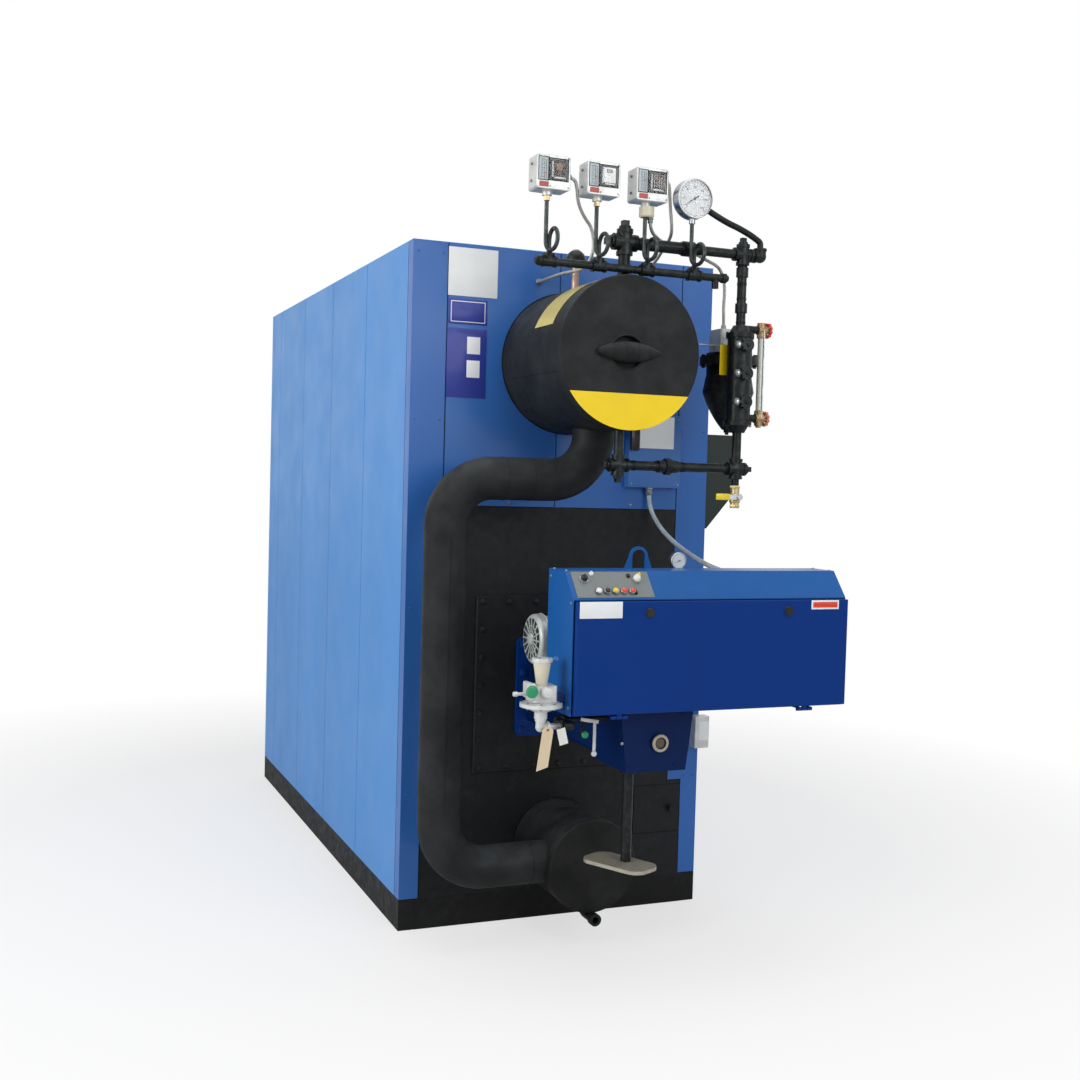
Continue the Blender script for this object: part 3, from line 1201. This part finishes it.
def regulator_details():
    """Bolts, covers and knobs on the gas regulator and its actuator."""
    with piece("regulator_bolts", "steel", "bare_steel", REGULATOR) as bm:
        for spot in around(ORIGIN, "Z", 0.0575, 8, 0.5):
            add_hex_bolt(bm, (spot.x, spot.y, 0.9595), UP, 0.0048)
            add_hex_bolt(bm, (spot.x, spot.y, 0.9470), DOWN, 0.0042)
        for spot in around((0, 0, 1.100), "Z", 0.022, 4, 0.5):
            add_hex_bolt(bm, spot, UP, 0.0040)
    with piece("actuator_cover", "green_paint", "box_green", REGULATOR) as bm:
        cover = [(0.0200, 0), (0.0200, 0.004), (0.0175, 0.008), (0.0090, 0.010)]
        add_turned(bm, cover, (-0.048, -0.040, 1.002), FORWARD, 28)
    with piece("regulator_castings", "pale_casting", "cast_grey", REGULATOR) as bm:
        add_box(bm, (-0.043, -0.005, 1.001), (0.016, 0.070, 0.050), 0.004)
        cap = [(0.0160, 0), (0.0175, 0.003), (0.0175, 0.022), (0.0150, 0.028), (0, 0.030)]
        add_turned(bm, cap, (-0.002, -0.036, 1.000), FORWARD, 28)
        stub = [(0.0052, 0), (0.0052, 0.030), (0.0078, 0.031), (0.0078, 0.042), (0.006, 0.044)]
        add_turned(bm, stub, (-0.050, 0, 0.990), LEFT, 12)
    with piece("tower_knob", "wiring", "wiring_blue", REGULATOR) as bm:
        knob = [(0.0060, 0), (0.0060, 0.012), (0.0095, 0.014), (0.0095, 0.024), (0.0070, 0.026)]
        add_turned(bm, knob, (0.028, 0, 1.094), RIGHT, 16)
    paint("fuel_actuator", "cream", lambda centre: 1.018 < centre.z < 1.0865)
    paint("gas_pipe", "pale_casting", lambda centre: centre.x < -0.350)


def gas_cock():
    """Cock in the gas pipe with its white lever and green knob."""
    with piece("gas_cock_body", "iron", "pipe_black", GAS_COCK) as bm:
        add_turned(bm, mirrored([(0.0150, -0.026), (0.0165, -0.018)]), ORIGIN, RIGHT, 20)
        add_turned(bm, [(0.0070, 0), (0.0070, 0.034)], ORIGIN, FORWARD, 14)
        add_turned(bm, [(0.0045, 0), (0.0045, 0.030)], (-0.022, 0.004, -0.046), FORWARD, 10)
        add_tube(bm, [(-0.022, 0.002, -0.046), (-0.012, 0.002, -0.022), (-0.004, 0, -0.008)], 0.0045, 10)
    with piece("gas_cock_lever", "pale_casting", "dial_white", GAS_COCK) as bm:
        turn = Matrix.Rotation(math.radians(10), 4, "Y")
        add_box(bm, (-0.010, -0.036, 0), (0.064, 0.005, 0.012), 0.002, turn=turn)
        add_box(bm, (0.008, -0.036, -0.052), (0.0105, 0.0045, 0.106), 0.0018)
        end = [(0.0085, 0), (0.0095, 0.002), (0.0095, 0.006), (0.0075, 0.008)]
        add_turned(bm, end, (0.008, -0.033, -0.108), FORWARD, 18)
    with piece("gas_cock_knob", "green_paint", "box_green", GAS_COCK) as bm:
        knob = [(0.0100, 0), (0.0122, 0.004), (0.0122, 0.010), (0.0090, 0.014), (0, 0.015)]
        add_turned(bm, knob, (-0.022, -0.022, -0.046), FORWARD, 18)


def tags():
    """Two paper tags that hang from the regulator's elbow on wire."""
    outline = (
        (-0.0180, -0.072), (0.0190, -0.056), (0.0190, 0.060),
        (0.0110, 0.070), (-0.0100, 0.070), (-0.0180, 0.060),
    )
    turn = Matrix.Rotation(math.radians(6), 4, "Y") @ Matrix.Rotation(math.radians(4), 4, "X")
    tag_place = (-0.392, -2.112, 0.818)
    with piece("paper_tag", ("tag", "copper"), "cream_plastic", tag_place, smooth=False) as bm:
        add_plate(bm, outline, turn, 0.0004, -0.0004)
        eyelet = [(0.0016, 0), (0.0042, 0), (0.0042, 0.0010), (0.0016, 0.0010)]
        add_lathe(bm, eyelet, turn @ Vector((0, -0.0003, 0.061)), FORWARD, 18, 1)
    turn = Matrix.Rotation(math.radians(-14), 4, "Y")
    small = (-0.334, -2.112, 0.855)
    box_piece("small_tag", "white_tag", "dial_white", small, (0.029, 0.0008, 0.052), turn=turn, smooth=False)
    long_wire = [ORIGIN, (0, -0.001, 0.012), (0, 0.005, 0.024), (0, 0.019, 0.028)]
    short_wire = [(0.046, 0.001, 0), (0.043, 0.003, 0.012), (0.040, 0.011, 0.022), (0.038, 0.023, 0.022)]
    with piece("tag_wires", "steel", "bare_steel", (-0.386, -2.113, 0.878)) as bm:
        for wire in (long_wire, short_wire):
            add_tube(bm, wire, 0.0009, 6)


# Boxes

def small_boxes():
    """Plates and screws of the wiring box, the side box and the service box."""
    face_y = FRONT - 0.038
    plate = (0.3660, face_y - 0.0008, 1.8480)
    box_piece("wiring_plate", "white_plate", "dial_white", plate, (0.146, 0.0016, 0.122), 0.0006)
    patch = (0.2680, face_y - 0.008, 1.822)
    box_piece("wiring_patch", "black_plastic", "pipe_black", patch, (0.034, 0.016, 0.090), 0.002)
    with piece("box_screws", "steel", "bare_steel") as bm:
        for x in (0.262, 0.460):
            for z in (1.650, 1.902):
                add_screw(bm, (x, face_y, z), FORWARD, 0.0042)
        low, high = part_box("side_box")
        for y in (low.y + 0.02, high.y - 0.02):
            for z in (1.835, 1.640):
                add_turned(bm, [(0.0048, 0), (0.0048, 0.0002), (0, 0.0003)], (high.x, y, z), RIGHT, 18)
    low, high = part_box("service_box")
    plate = ((low.x + high.x) / 2 + 0.006, low.y - 0.0006, (low.z + high.z) / 2 + 0.006)
    box_piece("service_plate", "white_plate", "dial_white", plate, (0.040, 0.0012, 0.075), 0.0004)


# Flexible conduits

CONTROL_ROUTE = [
    (-0.242, -1.800, 2.656), (-0.210, -1.800, 2.656), (-0.197, -1.793, 2.622), (-0.185, -1.775, 2.582),
    (-0.152, -1.751, 2.544), (-0.110, -1.729, 2.514), (-0.096, -1.719, 2.462), (-0.098, -1.711, 2.423),
    (-0.104, -1.683, 2.395), (-0.112, -1.635, 2.383), (-0.120, -1.573, 2.385), (-0.124, -1.501, 2.388),
    (-0.126, -1.401, 2.386), (-0.126, -1.300, 2.386),
]
CUTOFF_ROUTE = [
    (0.072, -1.805, 2.552), (0.072, -1.805, 2.527), (0.097, -1.775, 2.508), (0.137, -1.741, 2.498),
    (0.181, -1.723, 2.484), (0.233, -1.719, 2.475), (0.289, -1.713, 2.470), (0.341, -1.695, 2.458),
    (0.385, -1.665, 2.453), (0.423, -1.639, 2.450), (0.455, -1.619, 2.441), (0.481, -1.605, 2.410),
    (0.490, -1.601, 2.366), (0.487, -1.600, 2.310), (0.490, -1.600, 2.256), (0.490, -1.600, 2.222),
]
RELAY_ROUTE = [
    (0.120, -1.785, 2.690), (0.148, -1.785, 2.690), (0.161, -1.771, 2.654), (0.166, -1.769, 2.600),
    (0.174, -1.767, 2.554), (0.184, -1.751, 2.520), (0.192, -1.717, 2.501), (0.196, -1.671, 2.482),
    (0.198, -1.615, 2.448), (0.198, -1.545, 2.422), (0.198, -1.465, 2.410), (0.198, -1.385, 2.408),
    (0.198, -1.300, 2.408),
]
MAIN_ROUTE = [
    (0.3477, -1.319, 1.637), (0.3477, -1.319, 1.589), (0.3537, -1.341, 1.535), (0.3677, -1.395, 1.479),
    (0.3757, -1.475, 1.437), (0.3797, -1.565, 1.406), (0.3797, -1.657, 1.382), (0.3777, -1.749, 1.364),
    (0.3757, -1.838, 1.354), (0.3747, -1.898, 1.340), (0.3747, -1.940, 1.340),
]
# Distance of the rings as a share of the diameter, depth of a groove as a share of the radius
RING_STEP = 0.095
GROOVE_DEPTH = 0.11


def spline_points(name, route):
    """Points along the smooth curve that has the route as its control points."""
    curve = bpy.data.curves.new(f"{name}_line", "CURVE")
    curve.dimensions = "3D"
    curve.resolution_u = 12
    spline = curve.splines.new("NURBS")
    spline.points.add(len(route) - 1)
    for point, place in zip(spline.points, route):
        point.co = (place[0], place[1], place[2], 1.0)
    spline.order_u = 3
    spline.use_endpoint_u = True
    line = bpy.data.objects.new(f"{name}_line", curve)
    mesh = bpy.data.meshes.new_from_object(line)
    points = [vertex.co.copy() for vertex in mesh.vertices]
    bpy.data.objects.remove(line)
    bpy.data.curves.remove(curve)
    bpy.data.meshes.remove(mesh)
    return points


def even_steps(points, step):
    """The same line in equal short steps."""
    lengths = [(after - before).length for before, after in zip(points, points[1:])]
    count = round(sum(lengths) / step)
    out = []
    stretch = 0
    passed = 0.0
    for number in range(count + 1):
        target = sum(lengths) * number / count
        while stretch < len(lengths) - 1 and passed + lengths[stretch] < target:
            passed += lengths[stretch]
            stretch += 1
        share = min(1.0, (target - passed) / lengths[stretch])
        out.append(points[stretch].lerp(points[stretch + 1], share))
    return out


def conduit(node, route, diameter, material):
    """Interlocked metal strip on the CAD tube's route: two rings on each rib, two in each groove."""
    points = even_steps(spline_points(node, route), diameter * RING_STEP)
    groove = diameter / 2 * (1 - GROOVE_DEPTH)
    radii = [groove if number % 4 > 1 else diameter / 2 for number in range(len(points))]
    bm = bmesh.new()
    add_sweep(bm, points, radii, 14)
    tube = new_piece(f"{node}_spiral", bm, material, "conduit_grey")
    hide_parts(node)


def conduit_nuts():
    """Nuts at both ends of every conduit."""
    large = [
        (0.0088, 0), (0.0160, 0), (0.0160, 0.006), (0.0128, 0.008), (0.0128, 0.026),
        (0.0128 * 0.86, 0.029), (0.0088, 0.029),
    ]
    small = [
        (0.0062, 0), (0.0115, 0), (0.0115, 0.005), (0.0095, 0.007), (0.0095, 0.016),
        (0.0080, 0.018), (0.0062, 0.018),
    ]
    with piece("conduit_nuts", "steel", "bare_steel") as bm:
        for profile, spot, axis, sides in (
            (large, MAIN_ROUTE[0], DOWN, 8),
            (large, MAIN_ROUTE[-1], BACK, 20),
            (small, CONTROL_ROUTE[0], RIGHT, 8),
            (small, CONTROL_ROUTE[-1], FORWARD, 8),
            (small, RELAY_ROUTE[0], RIGHT, 8),
            (small, RELAY_ROUTE[-1], FORWARD, 8),
            (small, CUTOFF_ROUTE[0], DOWN, 8),
            (small, CUTOFF_ROUTE[-1], UP, 8),
        ):
            add_lathe(bm, profile, spot, axis, sides)


conduit("control_conduit", CONTROL_ROUTE, 0.012, "conduit")
conduit("cutoff_conduit", CUTOFF_ROUTE, 0.012, "conduit")
conduit("relay_conduit", RELAY_ROUTE, 0.012, "conduit")
conduit("main_conduit", MAIN_ROUTE, 0.018, "conduit_dark")
front_screws()
casing_plates()
drum_face_band()
barrel_strip()
foam_seams()
manhole_rim()
control_faces()
gauges()
glass_trim()
column_trim()
cutoff_trim()
drain_trim()
wheel_lobes()
thread_ends()
vent_cap()
panel_fittings()
cabinet_details()
housing_details()
motor_bell()
regulator_details()
gas_cock()
tags()
small_boxes()
conduit_nuts()
build_stage()
build_world()
build_light()
build_camera()

bpy.context.view_layer.update()
